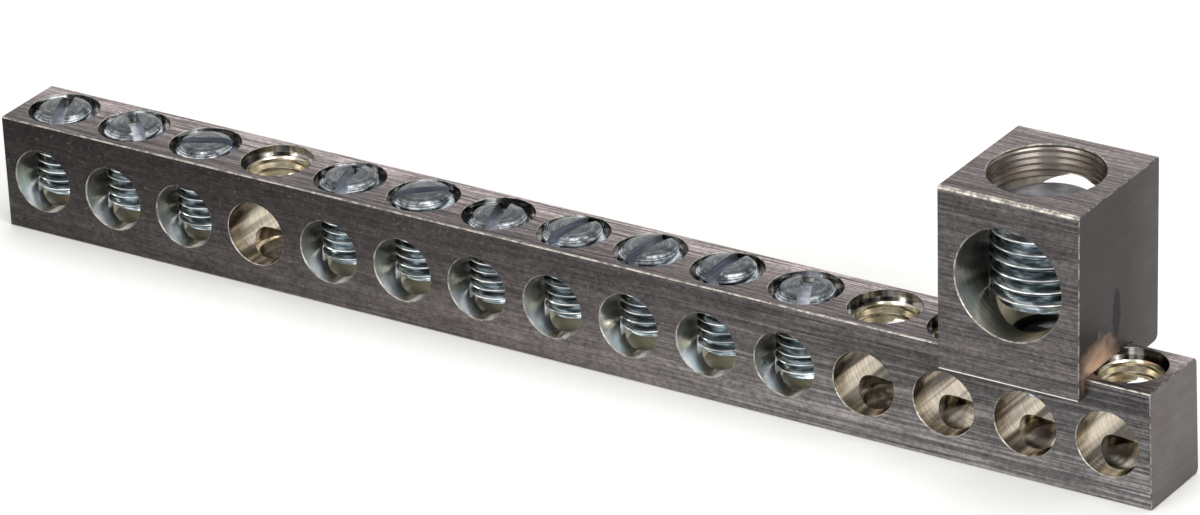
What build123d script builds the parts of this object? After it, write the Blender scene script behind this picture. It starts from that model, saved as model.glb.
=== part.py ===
"""Ground bar: an extruded aluminium bar with a row of wire holes, set screws and a lug for a large wire.

The frame has X along the bar, -Y at the side that the wires enter, +Z up, and the middle of the
bar's bottom face as origin. All sizes are in millimetres.
"""
import os
from math import radians, tan

from build123d import *

# The bar and its row of terminals
terminal_count = 15
terminal_pitch = 8.73
end_margin = 4.6
bar_depth = 8.8
bar_height = 12.0
bar_front_edge_radius = 0.2
bar_back_edge_radius = 0.6
wire_hole_diameter = 6.6
wire_hole_height = 5.8
wire_hole_chamfer = 0.15

# The tapped holes that cross the wire holes from above
thread_bore_diameter = 6.45
tap_reach_below_wire_axis = 2.4
tap_drill_diameter = 5.5
tap_drill_reach_below_wire_axis = 3.3
tap_drill_point_height = 1.2
recess_diameter = 7.25
recess_depth = 1.0
mounting_terminals = (4, 12)
mounting_hole_diameter = 4.8

# The slotted set screws: a flat face, a slightly sloping crown round it, and a chamfered rim.
# Each one is turned to its own angle and stands at its own height above the bar's top.
set_screw_clearance = 0.1
set_screw_length = 8.6
set_screw_face_diameter = 3.3
set_screw_crown_diameter = 4.9
set_screw_crown_drop = 0.16
set_screw_top_chamfer = 0.6
set_screw_tip_chamfer = 0.5
slot_width = 1.25
slot_depth = 1.4
set_screw_turn = {1: 113, 2: 137, 3: 27, 5: 106, 6: 40, 7: 108, 8: 77, 9: 82, 10: 88, 11: 116}
set_screw_rise = {1: 0.4, 2: 0.5, 3: 0.3, 5: 0.45, 6: 0.6, 7: 0.15, 8: 0.6, 9: 0.65, 10: 0.65, 11: 0.25}

# The lug that sits astride the bar, over the tapped hole of its fixing screw
lug_terminal = 14
lug_shift = -0.8
lug_width = 15.0
lug_depth = 14.8
lug_hole_setback = 7.5
lug_side_slant = 1.5
lug_height = 18.9
lug_front_lip = 1.1
lug_lip_drop = 2.0
lug_lip_edge_radius = 0.2
lug_front_edge_radius = 0.35
lug_top_back_edge_radius = 0.2
lug_bottom_back_edge_radius = 0.7
lug_wire_hole_diameter = 11.3
lug_wire_hole_height = 8.3
lug_thread_bore_diameter = 11.2
lug_tap_reach_below_wire_axis = 4.2
lug_tap_drill_diameter = 9.9
lug_mouth_chamfer = 0.2
lug_floor_thickness = 1.7
saddle_clearance = 0.05

# The lug's set screw
lug_screw_clearance = 0.1
lug_screw_length = 9.0
lug_screw_drop = 3.3
lug_screw_turn = 12
lug_screw_face_diameter = 7.0
lug_screw_crown_diameter = 9.4
lug_screw_crown_drop = 0.2
lug_screw_chamfer = 0.8
lug_slot_width = 2.0
lug_slot_depth = 2.2

# The headless screw that holds the lug down on the bar
fixing_screw_length = 5.6
fixing_screw_drop = 0.3

bar_length = (terminal_count - 1) * terminal_pitch + 2 * end_margin
bar_centre_y = 0.0
front_face = -bar_depth / 2
set_screw_diameter = thread_bore_diameter - 2 * set_screw_clearance
lug_screw_diameter = lug_thread_bore_diameter - 2 * lug_screw_clearance
lug_axis_y = front_face - lug_front_lip + lug_hole_setback
lug_bottom = bar_height - lug_lip_drop
lug_top = lug_bottom + lug_height
lug_floor_top = bar_height + lug_floor_thickness


def terminal_x(number):
    """Place of a terminal along the bar, counted from its left end."""
    return (number - (terminal_count + 1) / 2) * terminal_pitch


lug_axis_x = terminal_x(lug_terminal) + lug_shift


def rounded_profile(centre, depth, height, radii):
    """Rectangle whose corners have their own radii: lower front, lower back, upper front, upper back."""
    with Locations(centre):
        outline = Rectangle(depth, height)
    corners = outline.vertices().sort_by(Axis.X).sort_by(Axis.Y)
    lower = corners[:2].sort_by(Axis.X)
    upper = corners[2:].sort_by(Axis.X)
    for corner, radius in zip([*lower, *upper], radii):
        fillet(corner, radius)


def make_ground_bar():
    """Extruded bar, cross-drilled for the wires and drilled and tapped from above for the screws."""
    terminals = range(1, terminal_count + 1)
    tap_floor = wire_hole_height - tap_reach_below_wire_axis
    drill_floor = wire_hole_height - tap_drill_reach_below_wire_axis
    edge_radii = (bar_front_edge_radius, bar_back_edge_radius) * 2
    with BuildPart() as bar:
        with BuildSketch(Plane.YZ.offset(-bar_length / 2)):
            rounded_profile((bar_centre_y, bar_height / 2), bar_depth, bar_height, edge_radii)
        extrude(amount=bar_length)
        with BuildSketch(Plane.XZ.offset(bar_depth / 2)):
            with Locations(*[(terminal_x(n), wire_hole_height) for n in terminals]):
                Circle(wire_hole_diameter / 2)
        extrude(amount=-bar_depth, mode=Mode.SUBTRACT)
        rims = bar.faces().sort_by(Axis.Y)[0].edges().filter_by(GeomType.CIRCLE)
        rims += bar.faces().sort_by(Axis.Y)[-1].edges().filter_by(GeomType.CIRCLE)
        chamfer(rims, wire_hole_chamfer)
        with BuildSketch(Plane.XY.offset(bar_height)):
            with Locations(*[(terminal_x(n), bar_centre_y) for n in terminals]):
                Circle(thread_bore_diameter / 2)
        extrude(amount=tap_floor - bar_height, mode=Mode.SUBTRACT)
        with BuildSketch(Plane.XY.offset(bar_height)):
            with Locations(*[(terminal_x(n), bar_centre_y) for n in terminals]):
                Circle(recess_diameter / 2)
        extrude(amount=-recess_depth, mode=Mode.SUBTRACT)
        with BuildSketch(Plane.XY.offset(tap_floor)):
            with Locations(*[(terminal_x(n), bar_centre_y) for n in terminals]):
                Circle(tap_drill_diameter / 2)
        extrude(amount=drill_floor - tap_floor, mode=Mode.SUBTRACT)
        with Locations(*[(terminal_x(n), bar_centre_y, drill_floor) for n in terminals]):
            Cone(
                0, tap_drill_diameter / 2, tap_drill_point_height,
                align=(Align.CENTER, Align.CENTER, Align.MAX), mode=Mode.SUBTRACT)
        with BuildSketch(Plane.XY.offset(bar_height)):
            with Locations(*[(terminal_x(n), bar_centre_y) for n in mounting_terminals]):
                Circle(mounting_hole_diameter / 2)
        extrude(amount=-bar_height, mode=Mode.SUBTRACT)
    return bar.part


def make_set_screw(place, top, length, diameters, crown_drop, top_chamfer, tip_chamfer, slot, turn):
    """Headless slotted screw, hung from the height of its top; diameters are of thread, crown and face."""
    radius, crown_radius, face_radius = (d / 2 for d in diameters)
    with BuildPart() as screw:
        with BuildSketch(Plane.XZ):
            with BuildLine():
                Polyline(
                    (0, 0), (face_radius, 0), (crown_radius, -crown_drop),
                    (radius, -crown_drop - top_chamfer), (radius, tip_chamfer - length),
                    (radius - tip_chamfer, -length), (0, -length), close=True)
            make_face()
        revolve(axis=Axis.Z)
        with BuildSketch(Plane.XY):
            Rectangle(4 * radius, slot[0], rotation=turn)
        extrude(amount=-slot[1], mode=Mode.SUBTRACT)
    return screw.part.moved(Location((*place, top)))


def make_lug():
    """Block lug that stands astride the bar: wire hole from the front, screw hole from above."""
    wire_axis = bar_height + lug_wire_hole_height
    lug_middle_y = front_face - lug_front_lip + lug_depth / 2
    lean = tan(radians(lug_side_slant)) * lug_height / 2
    left = lug_axis_x - lug_width / 2
    right = lug_axis_x + lug_width / 2
    edge_radii = (
        lug_lip_edge_radius, lug_bottom_back_edge_radius, lug_front_edge_radius, lug_top_back_edge_radius)
    with BuildPart() as lug:
        with BuildSketch(Plane.YZ.offset(lug_axis_x)):
            rounded_profile((lug_middle_y, lug_bottom + lug_height / 2), lug_depth, lug_height, edge_radii)
        extrude(amount=lug_width, both=True)
        with BuildSketch(Plane.YZ.offset(lug_axis_x)):
            with Locations((bar_centre_y, bar_height)):
                Rectangle(bar_depth + 2 * saddle_clearance, lug_height, align=(Align.CENTER, Align.MAX))
        extrude(amount=lug_width, both=True, mode=Mode.SUBTRACT)
        with BuildSketch(Plane.XZ):
            with BuildLine():
                Polyline(
                    (left - lean, lug_bottom), (right - lean, lug_bottom),
                    (right + lean, lug_top), (left + lean, lug_top), close=True)
            make_face()
        extrude(amount=lug_depth, both=True, mode=Mode.INTERSECT)
        with BuildSketch(Plane.XZ.offset(lug_front_lip - front_face)):
            with Locations((lug_axis_x, wire_axis)):
                Circle(lug_wire_hole_diameter / 2)
        extrude(amount=-lug_depth, mode=Mode.SUBTRACT)
        chamfer(lug.faces().sort_by(Axis.Y)[0].edges().filter_by(GeomType.CIRCLE), lug_mouth_chamfer)
        with BuildSketch(Plane.XY.offset(lug_top)):
            with Locations((lug_axis_x, lug_axis_y)):
                Circle(lug_thread_bore_diameter / 2)
        extrude(amount=wire_axis - lug_tap_reach_below_wire_axis - lug_top, mode=Mode.SUBTRACT)
        chamfer(lug.faces().sort_by(Axis.Z)[-1].edges().filter_by(GeomType.CIRCLE), lug_mouth_chamfer)
        with BuildSketch(Plane.XY.offset(wire_axis)):
            with Locations((lug_axis_x, lug_axis_y)):
                Circle(lug_tap_drill_diameter / 2)
        extrude(amount=lug_floor_top - wire_axis, mode=Mode.SUBTRACT)
        with BuildSketch(Plane.XY.offset(wire_axis)):
            with Locations((terminal_x(lug_terminal), bar_centre_y)):
                Circle(thread_bore_diameter / 2)
        extrude(amount=bar_height - wire_axis, mode=Mode.SUBTRACT)
    return lug.part


def save(solid, name):
    solid.label = name
    export_step(solid, f"parts/{name}.step")


os.makedirs("parts", exist_ok=True)
save(make_ground_bar(), "ground_bar")
for number, turn in set_screw_turn.items():
    set_screw = make_set_screw(
        (terminal_x(number), bar_centre_y), bar_height + set_screw_rise[number], set_screw_length,
        (set_screw_diameter, set_screw_crown_diameter, set_screw_face_diameter), set_screw_crown_drop,
        set_screw_top_chamfer, set_screw_tip_chamfer, (slot_width, slot_depth), turn)
    save(set_screw, f"set_screw_{number:02d}")
save(make_lug(), "lug")
lug_set_screw = make_set_screw(
    (lug_axis_x, lug_axis_y), lug_top - lug_screw_drop, lug_screw_length,
    (lug_screw_diameter, lug_screw_crown_diameter, lug_screw_face_diameter), lug_screw_crown_drop,
    lug_screw_chamfer, lug_screw_chamfer, (lug_slot_width, lug_slot_depth), lug_screw_turn)
save(lug_set_screw, "lug_set_screw")
fixing_screw = make_set_screw(
    (terminal_x(lug_terminal), bar_centre_y), lug_floor_top - fixing_screw_drop, fixing_screw_length,
    (set_screw_diameter, set_screw_crown_diameter, set_screw_face_diameter), set_screw_crown_drop,
    set_screw_top_chamfer, set_screw_tip_chamfer, (slot_width, slot_depth), 0)
save(fixing_screw, "lug_fixing_screw")
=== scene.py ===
"""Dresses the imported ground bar: a drilled aluminium bar, slotted set screws and a lug for a large wire."""
import math

import bmesh
import bpy
from mathutils import Matrix, Vector


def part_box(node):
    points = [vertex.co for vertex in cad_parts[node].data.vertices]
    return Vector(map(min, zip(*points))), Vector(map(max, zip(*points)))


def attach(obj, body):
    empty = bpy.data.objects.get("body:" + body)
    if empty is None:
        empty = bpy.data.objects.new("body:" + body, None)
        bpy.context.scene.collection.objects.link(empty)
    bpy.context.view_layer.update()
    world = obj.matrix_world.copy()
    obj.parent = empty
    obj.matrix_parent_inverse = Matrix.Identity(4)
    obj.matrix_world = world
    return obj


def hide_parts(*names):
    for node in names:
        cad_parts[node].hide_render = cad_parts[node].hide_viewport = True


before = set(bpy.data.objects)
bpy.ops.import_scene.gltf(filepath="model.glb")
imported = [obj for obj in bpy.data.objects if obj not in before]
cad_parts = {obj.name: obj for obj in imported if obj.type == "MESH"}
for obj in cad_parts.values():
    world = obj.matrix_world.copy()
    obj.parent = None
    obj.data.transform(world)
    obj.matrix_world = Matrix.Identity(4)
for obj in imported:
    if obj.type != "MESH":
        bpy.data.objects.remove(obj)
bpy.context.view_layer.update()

bl_info = {
    "name": "Ground Bar",
    "version": (1, 0, 0),
    "blender": (4, 5, 0),
    "location": "View3D > Sidebar > Ground Bar",
    "description": "Builds a grounding terminal bar with its set screws and lug",
    "category": "Add Mesh",
}

MM = 0.001
PHOTO_WIDTH = 1200
TERMINALS = 15
MOUNTING_TERMINALS = (4, 12)
EMPTY_TERMINALS = (4, 12, 13, 14, 15)
LUG_TERMINAL = 14
SET_SCREWS = [name for name in sorted(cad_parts) if name.startswith("set_screw_")]
SLOT_TURNS = {1: 113, 2: 137, 3: 27, 5: 106, 6: 40, 7: 108, 8: 77, 9: 82, 10: 88, 11: 116}
TURN_STEPS = 72
THREAD_STEPS = 48
OVERSHOOT = 2 * MM
UPWARDS = Matrix.Identity(3)
BACKWARDS = Matrix.Rotation(math.radians(-90), 3, "X")
FORWARDS = Matrix.Rotation(math.radians(90), 3, "X")
DOWNWARDS = Matrix.Rotation(math.radians(180), 3, "X")


def middle_of(node):
    low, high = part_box(node)
    return (low + high) / 2


class GroundBarSettings(bpy.types.PropertyGroup):
    """Sizes and colours that a user would change."""

    pitch: bpy.props.FloatProperty(
        name="Terminal pitch", description="Distance from one wire hole to the next",
        default=8.73 * MM, unit="LENGTH")
    front_edge: bpy.props.FloatProperty(
        name="Front edge radius", description="Radius of the bar's two front edges",
        default=0.2 * MM, unit="LENGTH")
    back_edge: bpy.props.FloatProperty(
        name="Back edge radius", description="Radius of the bar's two back edges",
        default=0.6 * MM, unit="LENGTH")
    # The edge round each sawn end takes the edge finish, which is partly wear and partly a painted highlight.
    end_edge: bpy.props.FloatProperty(
        name="Saw-cut edge", description="Width of the worn edge round each sawn end",
        default=0.09 * MM, unit="LENGTH")
    wire_hole: bpy.props.FloatProperty(
        name="Wire hole", description="Diameter of each wire hole",
        default=6.6 * MM, unit="LENGTH")
    wire_height: bpy.props.FloatProperty(
        name="Wire hole height", description="Height of the wire holes' axes above the base",
        default=5.8 * MM, unit="LENGTH")
    rim_chamfer: bpy.props.FloatProperty(
        name="Rim chamfer", description="Width of the deburred rim of each hole",
        default=0.08 * MM, unit="LENGTH")
    tapped_hole: bpy.props.FloatProperty(
        name="Tapped hole", description="Diameter of the tapped holes at the thread's root",
        default=6.45 * MM, unit="LENGTH")
    tap_floor: bpy.props.FloatProperty(
        name="Tap floor", description="Height at which the tapped holes end",
        default=3.4 * MM, unit="LENGTH")
    bare_wall: bpy.props.FloatProperty(
        name="Bare wall", description="Height up to which an empty hole's wall shows no thread",
        default=7.7 * MM, unit="LENGTH")
    tap_drill: bpy.props.FloatProperty(
        name="Tap drill", description="Diameter of the drilling that the tap follows",
        default=5.5 * MM, unit="LENGTH")
    drill_floor: bpy.props.FloatProperty(
        name="Drill floor", description="Height at which the drill's point begins",
        default=2.5 * MM, unit="LENGTH")
    drill_point: bpy.props.FloatProperty(
        name="Drill point", description="Height of the drill's point",
        default=1.2 * MM, unit="LENGTH")
    recess: bpy.props.FloatProperty(
        name="Recess", description="Diameter of the recess round each screw",
        default=7.25 * MM, unit="LENGTH")
    recess_depth: bpy.props.FloatProperty(
        name="Recess depth", description="Depth of the recess round each screw",
        default=1.0 * MM, unit="LENGTH")
    mounting_hole: bpy.props.FloatProperty(
        name="Mounting hole", description="Diameter of the two holes through the floor",
        default=4.8 * MM, unit="LENGTH")
    screw_pitch: bpy.props.FloatProperty(
        name="Screw thread", description="Distance from one thread of a set screw to the next",
        default=0.907 * MM, unit="LENGTH")
    screw_face: bpy.props.FloatProperty(
        name="Screw face", description="Diameter of the flat face on top of a set screw",
        default=3.3 * MM, unit="LENGTH")
    screw_crown: bpy.props.FloatProperty(
        name="Screw crown", description="Diameter of the gently sloping crown of a set screw",
        default=4.9 * MM, unit="LENGTH")
    crown_drop: bpy.props.FloatProperty(
        name="Crown drop", description="Height of the crown of a set screw",
        default=0.16 * MM, unit="LENGTH")
    screw_chamfer: bpy.props.FloatProperty(
        name="Screw chamfer", description="Height of the chamfer round the crown of a set screw",
        default=0.6 * MM, unit="LENGTH")
    slot_width: bpy.props.FloatProperty(
        name="Slot width", description="Width of a set screw's slot",
        default=1.25 * MM, unit="LENGTH")
    slot_depth: bpy.props.FloatProperty(
        name="Slot depth", description="Depth of a set screw's slot",
        default=1.4 * MM, unit="LENGTH")
    lug_front_edge: bpy.props.FloatProperty(
        name="Lug front edge", description="Radius of the lug's upper front edge",
        default=0.35 * MM, unit="LENGTH")
    lug_lip_edge: bpy.props.FloatProperty(
        name="Lug lip edge", description="Radius of the lower edge of the lug's lip",
        default=0.2 * MM, unit="LENGTH")
    lug_back_edge: bpy.props.FloatProperty(
        name="Lug back edge", description="Radius of the lug's lower back edge",
        default=0.7 * MM, unit="LENGTH")
    lug_slant: bpy.props.FloatProperty(
        name="Lug slant", description="How far the saw cuts of the lug's sides are out of square",
        default=math.radians(1.5), subtype="ANGLE", unit="ROTATION")
    lug_wire_hole: bpy.props.FloatProperty(
        name="Lug wire hole", description="Diameter of the lug's wire hole",
        default=11.3 * MM, unit="LENGTH")
    lug_wire_height: bpy.props.FloatProperty(
        name="Lug wire hole height", description="Height of the lug's wire hole above the base",
        default=20.3 * MM, unit="LENGTH")
    lug_tapped_hole: bpy.props.FloatProperty(
        name="Lug tapped hole", description="Diameter of the lug's tapped hole at the thread's root",
        default=11.2 * MM, unit="LENGTH")
    lug_tap_floor: bpy.props.FloatProperty(
        name="Lug tap floor", description="Height at which the lug's thread ends",
        default=16.1 * MM, unit="LENGTH")
    lug_groove: bpy.props.FloatProperty(
        name="Lug thread groove", description="How far the lug's thread is cut into the hole's wall",
        default=0.11 * MM, unit="LENGTH")
    lug_land: bpy.props.FloatProperty(
        name="Lug thread land", description="Height of the plain wall above the lug's thread",
        default=0.3 * MM, unit="LENGTH")
    lug_tap_drill: bpy.props.FloatProperty(
        name="Lug tap drill", description="Diameter of the drilling in the lug's floor",
        default=9.9 * MM, unit="LENGTH")
    lug_floor: bpy.props.FloatProperty(
        name="Lug floor", description="Height of the floor that the drilling leaves in the lug",
        default=13.7 * MM, unit="LENGTH")
    lug_screw_pitch: bpy.props.FloatProperty(
        name="Lug thread", description="Distance from one thread of the lug's screw to the next",
        default=1.27 * MM, unit="LENGTH")
    lug_slot_width: bpy.props.FloatProperty(
        name="Lug slot width", description="Width of the slot of the lug's screw",
        default=2.0 * MM, unit="LENGTH")
    lug_slot_turn: bpy.props.FloatProperty(
        name="Lug slot turn", description="Direction of the slot of the lug's screw",
        default=math.radians(12), subtype="ANGLE", unit="ROTATION")
    front_colour: bpy.props.StringProperty(
        name="Mill finish", description="Colour of the bar's front and back", default="565150")
    top_colour: bpy.props.StringProperty(
        name="Brushed top", description="Colour of the bar's brushed top", default="645c5c")
    sawn_colour: bpy.props.StringProperty(
        name="Saw cut", description="Colour of the sawn ends", default="605c5b")
    lug_colour: bpy.props.StringProperty(
        name="Lug finish", description="Colour of the lug's brushed front and back", default="545050")
    lug_top_colour: bpy.props.StringProperty(
        name="Lug top", description="Colour of the lug's top", default="605958")
    lug_side_colour: bpy.props.StringProperty(
        name="Lug side", description="Colour of the lug's sawn sides", default="363332")
    # Partly wear, partly a painted highlight: the deburred rims and the lug's upper front edge.
    wear_and_sheen_colour: bpy.props.StringProperty(
        name="Worn edge", description="Colour of deburred rims and edges", default="bcb6ac")
    lit_edge_colour: bpy.props.StringProperty(
        name="Lip edge", description="Colour of the lower edge of the lug's lip", default="fbf8f2")
    # Partly wear, partly a painted highlight: the bar's upper front edge and the edges round the sawn ends.
    edge_wear_and_sheen_colour: bpy.props.StringProperty(
        name="Rubbed edge", description="Colour of the bar's handled front edges", default="6c6866")
    # Base of the shaded copy of the drilled finish, for the holes that hold screws.
    bore_colour: bpy.props.StringProperty(
        name="Wire bore", description="Colour of the wire holes under the screws", default="d0cec4")
    lug_bore_colour: bpy.props.StringProperty(
        name="Lug bore", description="Colour of the lug's wire hole", default="d2d0c8")
    # Base of the lit copy of the drilled finish, for the empty holes that light reaches from above.
    lit_bore_colour: bpy.props.StringProperty(
        name="Bright bore", description="Colour of the wire holes with no screw", default="b4aa9a")
    recess_colour: bpy.props.StringProperty(
        name="Screw recess", description="Colour of the recesses round the screws", default="8c8a88")
    thread_colour: bpy.props.StringProperty(
        name="Tapped thread", description="Colour of the tapped threads", default="cec6b2")
    lug_thread_colour: bpy.props.StringProperty(
        name="Lug thread", description="Colour of the lug's tapped thread", default="8c837b")
    zinc_colour: bpy.props.StringProperty(
        name="Zinc plate", description="Colour of the zinc-plated threads", default="828b8f")
    # Painted highlight on the thread crests.
    crest_highlight_colour: bpy.props.StringProperty(
        name="Thread crest", description="Colour of the threads' rubbed crests", default="c6cace")
    # Painted shade on the threads' downward-facing flanks.
    underside_shade_colour: bpy.props.StringProperty(
        name="Thread root", description="Colour of the threads' shaded flanks", default="565e62")
    zinc_top_colour: bpy.props.StringProperty(
        name="Screw top", description="Colour of the screws' tops", default="565a5c")
    # Painted reflection: the near-white top of the lug's screw.
    lug_screw_sheen_colour: bpy.props.StringProperty(
        name="Lug screw top", description="Colour of the top of the lug's screw", default="f2f0ec")
    zinc_rim_colour: bpy.props.StringProperty(
        name="Screw rim", description="Colour of the chamfer round the screws' tops", default="6a6e71")
    slot_colour: bpy.props.StringProperty(
        name="Screw slot", description="Colour of the walls of the screws' slots", default="a6aab2")
    floor_colour: bpy.props.StringProperty(
        name="Floor", description="Colour of the studio floor", default="f4f4f2")


def settings():
    return bpy.context.scene.ground_bar


def colour(code):
    """Linear colour from an sRGB hex value."""
    parts = [int(code[i:i + 2], 16) / 255 for i in (0, 2, 4)]
    linear = [c / 12.92 if c <= 0.04045 else ((c + 0.055) / 1.055) ** 2.4 for c in parts]
    return (*linear, 1.0)


def add_node(tree, kind, values=(), **fields):
    """Adds a node, sets its fields, and feeds its sockets with values or with other sockets."""
    node = tree.nodes.new(kind)
    for field, value in fields.items():
        setattr(node, field, value)
    for socket, value in dict(values).items():
        if isinstance(value, bpy.types.NodeSocket):
            tree.links.new(value, node.inputs[socket])
        else:
            node.inputs[socket].default_value = value
    return node


def new_material(name, **sockets):
    """A material with one Principled shader, whose plain values stand on its own sockets."""
    material = bpy.data.materials.new(name)
    material.use_nodes = True
    tree = material.node_tree
    shader = tree.nodes["Principled BSDF"]
    for socket, value in sockets.items():
        shader.inputs[socket.replace("_", " ")].default_value = value
    return material, tree, shader


def streaks(tree, mapping_scale, detail=3.0, roughness=0.6):
    """Noise drawn out by its mapping, in cycles for each metre along each axis."""
    place = add_node(tree, "ShaderNodeTexCoord")
    mapping = add_node(tree, "ShaderNodeMapping", {"Vector": place.outputs["Object"], "Scale": mapping_scale})
    noise = add_node(
        tree, "ShaderNodeTexNoise",
        {"Vector": mapping.outputs["Vector"], "Scale": 1.0, "Detail": detail, "Roughness": roughness})
    return noise.outputs["Fac"]


def ramp(tree, value, *stops):
    node = add_node(tree, "ShaderNodeValToRGB", {"Fac": value})
    elements = node.color_ramp.elements
    while len(elements) < len(stops):
        elements.new(0.5)
    for element, (position, shade) in zip(elements, stops):
        element.position = position
        element.color = shade
    return node.outputs["Color"]


def grey(level):
    return (level, level, level, 1.0)


def mixed(tree, first, second, blend="MULTIPLY", factor=1.0):
    """Mixes two colours, either of which may be a socket."""
    node = tree.nodes.new("ShaderNodeMix")
    node.data_type = "RGBA"
    node.blend_type = blend
    for index, value in ((0, factor), (6, first), (7, second)):
        if isinstance(value, bpy.types.NodeSocket):
            tree.links.new(value, node.inputs[index])
        else:
            node.inputs[index].default_value = value
    return node.outputs[2]


def bumped(tree, shader, height, strength, distance_mm):
    bump = add_node(
        tree, "ShaderNodeBump",
        {"Height": height, "Strength": strength, "Distance": distance_mm * MM})
    tree.links.new(bump.outputs["Normal"], shader.inputs["Normal"])


def gradient(tree, axis, low_mm, high_mm, *stops):
    """Colour that changes along one axis between two places, given in millimetres."""
    place = add_node(tree, "ShaderNodeTexCoord").outputs["Object"]
    parts = add_node(tree, "ShaderNodeSeparateXYZ", {"Vector": place})
    share = add_node(
        tree, "ShaderNodeMapRange",
        {"Value": parts.outputs[axis], "From Min": low_mm * MM, "From Max": high_mm * MM})
    return ramp(tree, share.outputs["Result"], *stops)


def turning_marks(tree, ring_mm, centre):
    """Noise in rings about a vertical axis, or about every terminal's axis if centre is None."""
    place = add_node(tree, "ShaderNodeTexCoord").outputs["Object"]
    parts = add_node(tree, "ShaderNodeSeparateXYZ", {"Vector": place}).outputs
    if centre is None:
        half = settings().pitch / 2
        x = add_node(tree, "ShaderNodeMath", {0: parts["X"], 1: half, 2: -half}, operation="WRAP").outputs[0]
        y = parts["Y"]
    else:
        x = add_node(tree, "ShaderNodeMath", {0: parts["X"], 1: centre.x}, operation="SUBTRACT").outputs[0]
        y = add_node(tree, "ShaderNodeMath", {0: parts["Y"], 1: centre.y}, operation="SUBTRACT").outputs[0]
    flat = add_node(tree, "ShaderNodeCombineXYZ", {"X": x, "Y": y}).outputs["Vector"]
    reach = add_node(tree, "ShaderNodeVectorMath", {0: flat}, operation="LENGTH").outputs["Value"]
    line = add_node(tree, "ShaderNodeCombineXYZ", {"X": reach}).outputs["Vector"]
    noise = add_node(
        tree, "ShaderNodeTexNoise",
        {"Vector": line, "Scale": 1000 / ring_mm, "Detail": 2.0, "Roughness": 0.6})
    return noise.outputs["Fac"]


def brushed_aluminium(name, code, grain_mm, streak, speck, painted_light_and_shade=(), scratched=None):
    """Extruded aluminium: satin, with a grain along X, soft dark patches and fine bright specks.

    The gradients, (axis, low, high, stops), are painted light and shade that make one end or edge of a face
    lighter or darker.
    scratched is a gradient too, for how much the long scratches show.
    """
    material, tree, shader = new_material(name, Metallic=0.9, Roughness=0.4)
    across = 1000 / grain_mm
    grain = streaks(tree, (across / 45, across, across), 5.0, 0.7)
    broad = streaks(tree, (250, 500, 500), 3.0, 0.6)
    leather = streaks(tree, (1900, 2600, 2600), 4.0, 0.65)
    specks = streaks(tree, (2600, 4200, 4200), 1.0, 0.5)
    shade = ramp(
        tree, grain, (0.40, grey(1 - streak)), (0.50, grey(1.0)), (0.62, grey(1 + 1.7 * streak)))
    patches = ramp(tree, broad, (0.30, grey(0.86)), (0.68, (1.14, 1.11, 1.11, 1)))
    pits = ramp(tree, leather, (0.34, grey(0.66)), (0.52, grey(1.0)), (0.68, grey(1.28)))
    glints = ramp(tree, specks, (0.66, grey(0.0)), (0.76, grey(speck)))
    base = mixed(tree, mixed(tree, colour(code), shade), mixed(tree, patches, pits))
    # Painted light and shade: each gradient lightens or darkens the colour along one axis.
    for axis, low_mm, high_mm, stops in painted_light_and_shade:
        base = mixed(tree, base, gradient(tree, axis, low_mm, high_mm, *stops))
    if scratched:
        axis, low_mm, high_mm, stops = scratched
        scratches = streaks(tree, (60, 4200, 4200), 2.0, 0.6)
        lines = ramp(tree, scratches, (0.42, grey(0.70)), (0.5, grey(1.0)), (0.60, grey(1.7)))
        base = mixed(tree, base, lines, factor=gradient(tree, axis, low_mm, high_mm, *stops))
    base = mixed(tree, base, glints, "ADD")
    tree.links.new(base, shader.inputs["Base Color"])
    rough = ramp(tree, grain, (0.3, grey(0.48)), (0.7, grey(0.33)))
    tree.links.new(rough, shader.inputs["Roughness"])
    bumped(tree, shader, grain, 0.5, 0.02)
    return material


def stain_and_glow_patch(tree, base, place_mm, size_mm, shade, soft):
    """Tints a colour in a ragged patch round a place, for a real stain or for a painted patch of reflected light;
    soft is its blur.
    """
    place = add_node(tree, "ShaderNodeTexCoord").outputs["Object"]
    ball = add_node(
        tree, "ShaderNodeMapping",
        {"Vector": place, "Location": [c * MM for c in place_mm], "Scale": [c * MM for c in size_mm]},
        vector_type="TEXTURE")
    wobble = add_node(
        tree, "ShaderNodeTexNoise",
        {"Vector": place, "Scale": 900.0, "Detail": 4.0, "Roughness": 0.7}).outputs["Fac"]
    distance = add_node(
        tree, "ShaderNodeVectorMath", {0: ball.outputs["Vector"]}, operation="LENGTH").outputs["Value"]
    edge = add_node(
        tree, "ShaderNodeMath", {0: wobble, 1: 0.8, 2: distance}, operation="MULTIPLY_ADD").outputs["Value"]
    edge = add_node(tree, "ShaderNodeMath", {0: edge, 1: 0.7}, operation="MULTIPLY").outputs["Value"]
    return mixed(tree, base, ramp(tree, edge, (1 - soft, shade), (1.0, grey(1.0))))


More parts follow.
